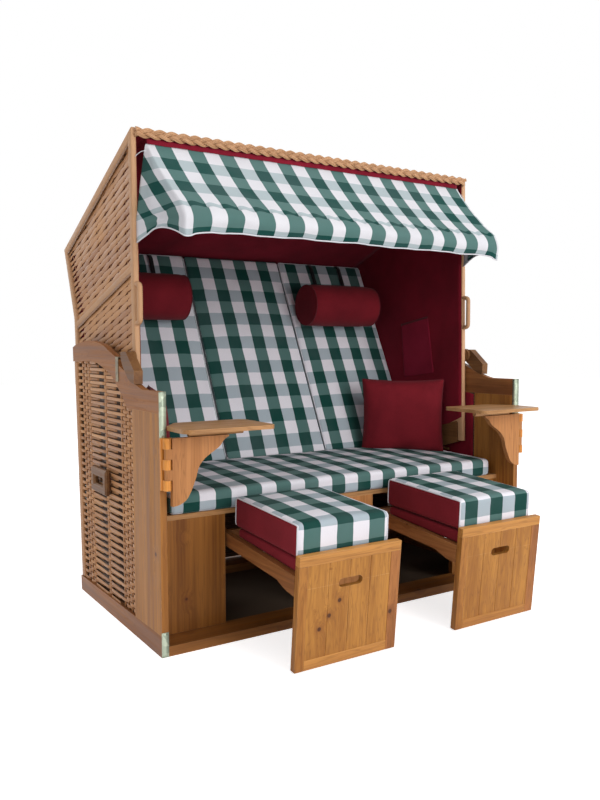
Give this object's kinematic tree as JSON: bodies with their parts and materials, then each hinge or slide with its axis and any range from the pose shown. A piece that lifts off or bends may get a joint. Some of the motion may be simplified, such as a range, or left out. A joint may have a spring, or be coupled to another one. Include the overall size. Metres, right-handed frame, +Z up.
{
  "type": "hooded beach chair",
  "caption": "Hooded wicker beach chair on a timber base, with a reclining hood, checked awning, swing-out tables and pull-out footrests.",
  "frame": {"origin": "on the ground, at the centre of the whole chair's width and depth", "axes": "+X to the sitters' left, which is the right side seen from the front; +Y to the back; +Z up"},
  "size_m": [1.5346, 1.37, 1.607],
  "materials": {
    "pine": "honey brown stain, satin",
    "pale_pine": "clear oiled pine, satin",
    "cane": "woven tan strips, satin",
    "zinc": "galvanised, dull",
    "steel": "plain steel",
    "canvas": "wine-red canvas",
    "gingham": "green and white check with a white piping"
  },
  "bodies": {
    "base": {"front_post_left": "pine", "front_post_right": "pine", "top_rail_left": "pine", "top_rail_right": "pine", "bottom_rail_left": "pine", "bottom_rail_right": "pine", "side_wicker_left": "cane", "side_wicker_right": "cane", "carry_handle_left": "pale_pine", "carry_handle_right": "pale_pine", "latch_plate_left": "zinc", "latch_plate_right": "zinc", "pivot_bolt_left": "steel", "pivot_bolt_right": "steel", "hinge_leaf_left": "pale_pine", "hinge_leaf_right": "pale_pine", "front_board_left": "pine", "front_board_right": "pine", "scatter_cushion_left": "canvas", "scatter_cushion_right": "canvas", "front_floor_board": "pine", "rear_floor_board": "pine", "front_board_centre": "pale_pine", "seat_board": "pale_pine", "runner_shelf": "pine", "rear_wicker": "cane", "seat_cushion": "gingham"},
    "hood": {"hood_frame_left": "cane", "hood_frame_right": "cane", "hood_wicker_left": "cane", "hood_wicker_right": "cane", "hood_lower_rail_left": "pale_pine", "hood_lower_rail_right": "pale_pine", "hood_grip_left": "cane", "hood_grip_right": "cane", "neck_roll_left": "canvas", "neck_roll_right": "canvas", "hood_roof": "cane", "hood_back": "cane", "braid": "cane", "backrest_board": "pale_pine", "back_cushion_left": "gingham", "back_cushion_centre": "gingham", "back_cushion_right": "gingham", "awning": "gingham"},
    "awning_bow": {"awning_bow": "zinc"},
    "lever_left": {"lever_left": "pale_pine"},
    "bracket_left": {"table_bracket_left": "pale_pine"},
    "table_left": {"table_top_left": "pale_pine"},
    "footrest_left": {"footrest_front_left": "pine", "footrest_frame_left": "pine", "footrest_pad_left": "canvas", "footrest_cushion_left": "gingham"},
    "lever_right": {"lever_right": "pale_pine"},
    "bracket_right": {"table_bracket_right": "pale_pine"},
    "table_right": {"table_top_right": "pale_pine"},
    "footrest_right": {"footrest_front_right": "pine", "footrest_frame_right": "pine", "footrest_pad_right": "canvas", "footrest_cushion_right": "gingham"}
  },
  "joints": [
    {"name": "hood_tilt", "type": "hinge", "parent": "base", "child": "hood", "pos_m": [0, 0.25598, 0.468], "axis": [-1, 0, 0], "range_deg": [0, 60]},
    {"name": "awning_lift", "type": "hinge", "parent": "hood", "child": "awning_bow", "pos_m": [0, -0.06866, 1.325], "axis": [-1, 0, 0], "range_deg": [0, 40], "deforming": ["awning"]},
    {"name": "lever_left_lift", "type": "hinge", "parent": "hood", "child": "lever_left", "pos_m": [-0.735, -0.07402, 0.877], "axis": [-1, 0, 0], "range_deg": [0, 30]},
    {"name": "table_left_swing", "type": "hinge", "parent": "base", "child": "bracket_left", "pos_m": [-0.735, -0.36602, 0.576], "axis": [0, 0, -1], "range_deg": [0, 150]},
    {"name": "table_left_fold", "type": "hinge", "parent": "bracket_left", "child": "table_left", "pos_m": [-0.5825, -0.36602, 0.661], "axis": [1, 0, 0], "range_deg": [0, 90]},
    {"name": "footrest_left_slide", "type": "slide", "parent": "base", "child": "footrest_left", "axis": [0, 0.9959, 0.0906], "range_m": [0, 0.355], "deforming": ["footrest_cushion_left"]},
    {"name": "lever_right_lift", "type": "hinge", "parent": "hood", "child": "lever_right", "pos_m": [0.735, -0.07402, 0.877], "axis": [-1, 0, 0], "range_deg": [0, 30]},
    {"name": "table_right_swing", "type": "hinge", "parent": "base", "child": "bracket_right", "pos_m": [0.735, -0.36602, 0.576], "axis": [0, 0, 1], "range_deg": [0, 150]},
    {"name": "table_right_fold", "type": "hinge", "parent": "bracket_right", "child": "table_right", "pos_m": [0.5825, -0.36602, 0.661], "axis": [1, 0, 0], "range_deg": [0, 90]},
    {"name": "footrest_right_slide", "type": "slide", "parent": "base", "child": "footrest_right", "axis": [0, 0.9959, 0.0906], "range_m": [0, 0.355], "deforming": ["footrest_cushion_right"]}
  ]
}
